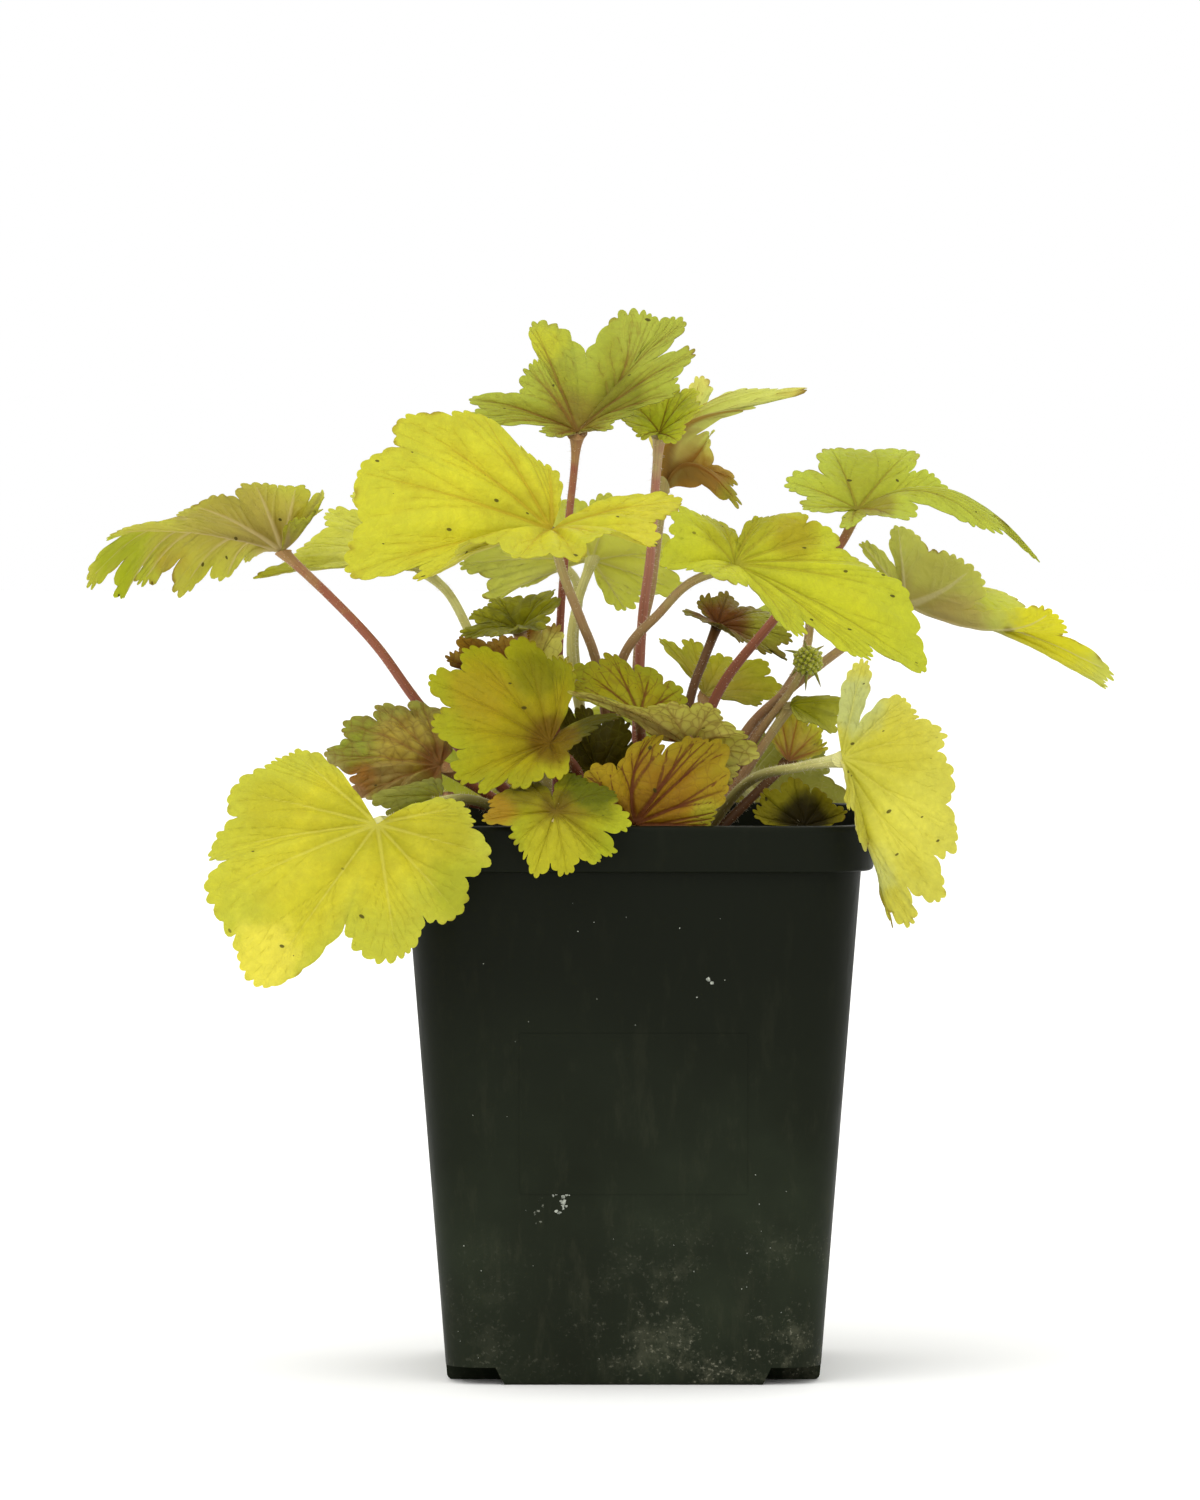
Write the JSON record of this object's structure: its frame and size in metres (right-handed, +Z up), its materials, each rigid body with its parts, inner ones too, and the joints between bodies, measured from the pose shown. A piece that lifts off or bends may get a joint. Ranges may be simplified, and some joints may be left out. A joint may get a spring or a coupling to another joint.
{
  "type": "potted heuchera plant",
  "caption": "Young heuchera (coral bells) with round lobed lime-yellow leaves on slender stalks, growing in a square plastic nursery pot.",
  "frame": {"origin": "centre of the pot's flat base, on the surface that it stands on", "axes": "+Z up; -Y is the front, the side with the two large hanging leaves; +X to the right seen from the front"},
  "size_m": [0.2399, 0.1534, 0.2457],
  "materials": {
    "pot_plastic": "satin, near black with a trace of green, dusty",
    "soil": "matte, crumbly",
    "petiole": "satin, hairy, red-brown to pale green",
    "bud_green": "matte, hairy",
    "leaf_yellow": "satin, bright yellow with pale veins",
    "leaf_lime": "satin, lime to yellow-green",
    "leaf_olive": "satin, olive with red-brown veins",
    "leaf_amber": "satin, amber with dark red-brown veins",
    "leaf_dark_red": "satin, dark red-brown"
  },
  "bodies": {
    "root": {"pot": "pot_plastic", "soil": "soil", "crown_and_petioles": "petiole", "bud": "bud_green", "blade_front_left": "leaf_yellow", "blade_upper_left": "leaf_yellow", "blade_low_right": "leaf_yellow", "blade_right": "leaf_lime", "blade_upper_right": "leaf_lime", "blade_top": "leaf_lime", "blade_top_front": "leaf_lime", "blade_far_left": "leaf_lime", "blade_far_right": "leaf_lime", "blade_left_back": "leaf_lime", "blade_pale_back": "leaf_lime", "blade_high_left": "leaf_lime", "blade_high_right": "leaf_lime", "blade_back_left": "leaf_lime", "blade_back_right": "leaf_lime", "blade_back_middle": "leaf_lime", "blade_middle_left": "leaf_olive", "blade_middle_right": "leaf_olive", "blade_middle_back": "leaf_olive", "blade_front": "leaf_olive", "blade_left_low": "leaf_olive", "blade_left_curl": "leaf_olive", "blade_small_dark": "leaf_olive", "blade_right_back": "leaf_olive", "blade_right_small": "leaf_olive", "blade_right_upright": "leaf_olive", "blade_right_hood": "leaf_olive", "blade_inner": "leaf_olive", "blade_top_back": "leaf_olive", "blade_amber": "leaf_amber", "blade_brown": "leaf_amber", "blade_dark_red": "leaf_dark_red"}
  },
  "joints": []
}
